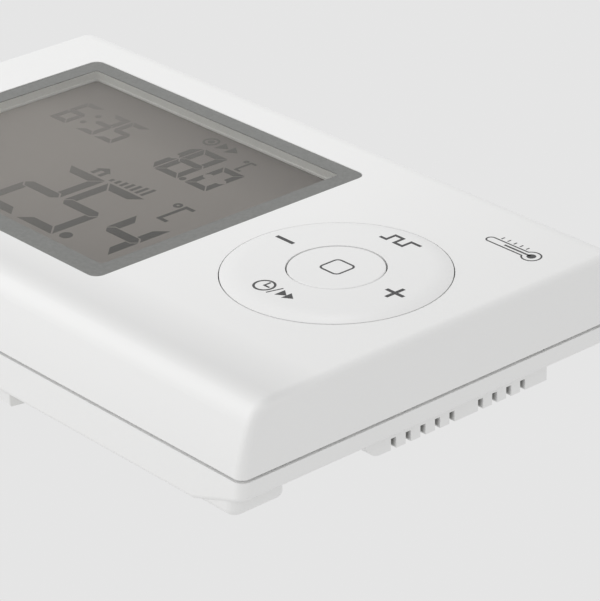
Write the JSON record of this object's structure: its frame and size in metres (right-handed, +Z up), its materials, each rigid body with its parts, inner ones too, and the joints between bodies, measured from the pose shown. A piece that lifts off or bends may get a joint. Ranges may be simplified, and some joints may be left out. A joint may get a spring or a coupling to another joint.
{
  "type": "wall thermostat",
  "caption": "Rectangular wall thermostat with a grey display window, a four-way ring key round a press button, slotted end vents and a hook-on wall plate.",
  "frame": {"origin": "centre of the wall plate's back face, on the wall plane", "axes": "+X to the right along the length, +Z up the wall, +Y into the wall, so the display faces -Y"},
  "size_m": [0.146, 0.0249, 0.0906],
  "materials": {
    "white_shell": "fine satin moulded white",
    "white_key": "satin white key",
    "grey_print": "grey printed border",
    "clear_pane": "clear acrylic",
    "white_carrier": "white carrier",
    "lcd_glass": "grey liquid crystal display",
    "acrylic_guide": "frosted acrylic",
    "led_body": "LED package",
    "zebra_rubber": "striped elastomer",
    "silicone_mat": "translucent silicone",
    "grey_mechanism": "grey acetal",
    "green_board": "green solder mask",
    "steel_screw": "zinc plated",
    "black_package": "moulded epoxy",
    "can_metal": "nickel can",
    "relay_case": "blue relay case",
    "capacitor_sleeve": "sleeve and aluminium top",
    "chip_ceramic": "chip components",
    "sensor_bead": "epoxy bead",
    "terminal_green": "green terminal block",
    "brass_clamp": "brass",
    "nickel_spring": "nickel plated",
    "cell_sleeve": "printed cell jacket"
  },
  "bodies": {
    "wall_plate_body": {"wall_plate": "white_shell"},
    "unit": {"rear_housing": "white_shell", "front_cover": "white_shell", "housing_screws": "steel_screw", "window_film": "grey_print", "display_window": "clear_pane", "lcd_frame": "white_carrier", "lcd_panel": "lcd_glass", "light_guide": "acrylic_guide", "backlight_leds": "led_body", "zebra_strips": "zebra_rubber", "key_backplate": "grey_mechanism", "keypad_mat": "silicone_mat", "main_board": "green_board", "board_screws": "steel_screw", "microcontroller": "black_package", "crystal": "can_metal", "relay": "relay_case", "capacitor": "capacitor_sleeve", "chip_parts": "chip_ceramic", "temperature_sensor": "sensor_bead", "terminal_block": "terminal_green", "terminal_clamps": "brass_clamp", "terminal_screws": "steel_screw", "battery_cells": "cell_sleeve", "battery_springs": "nickel_spring", "battery_plates": "nickel_spring"},
    "gimbal": {"ring_gimbal": "grey_mechanism"},
    "ring_key": {"nav_ring": "white_key"},
    "button": {"centre_button": "white_key"}
  },
  "joints": [
    {"name": "unit_lift", "type": "slide", "parent": "wall_plate_body", "child": "unit", "axis": [0, 0, 1], "range_m": [0, 0.006]},
    {"name": "ring_up_down", "type": "hinge", "parent": "unit", "child": "gimbal", "pos_m": [0.0459, -0.021, 0], "axis": [1, 0, 0], "range_deg": [-1.4, 1.4], "stiffness_Nm_per_rad": 1},
    {"name": "ring_left_right", "type": "hinge", "parent": "gimbal", "child": "ring_key", "pos_m": [0.0459, -0.021, 0], "axis": [0, 0, 1], "range_deg": [-1.4, 1.4], "stiffness_Nm_per_rad": 1},
    {"name": "button_press", "type": "slide", "parent": "unit", "child": "button", "axis": [0, 1, 0], "range_m": [0, 0.0004], "stiffness_N_per_m": 5000}
  ]
}
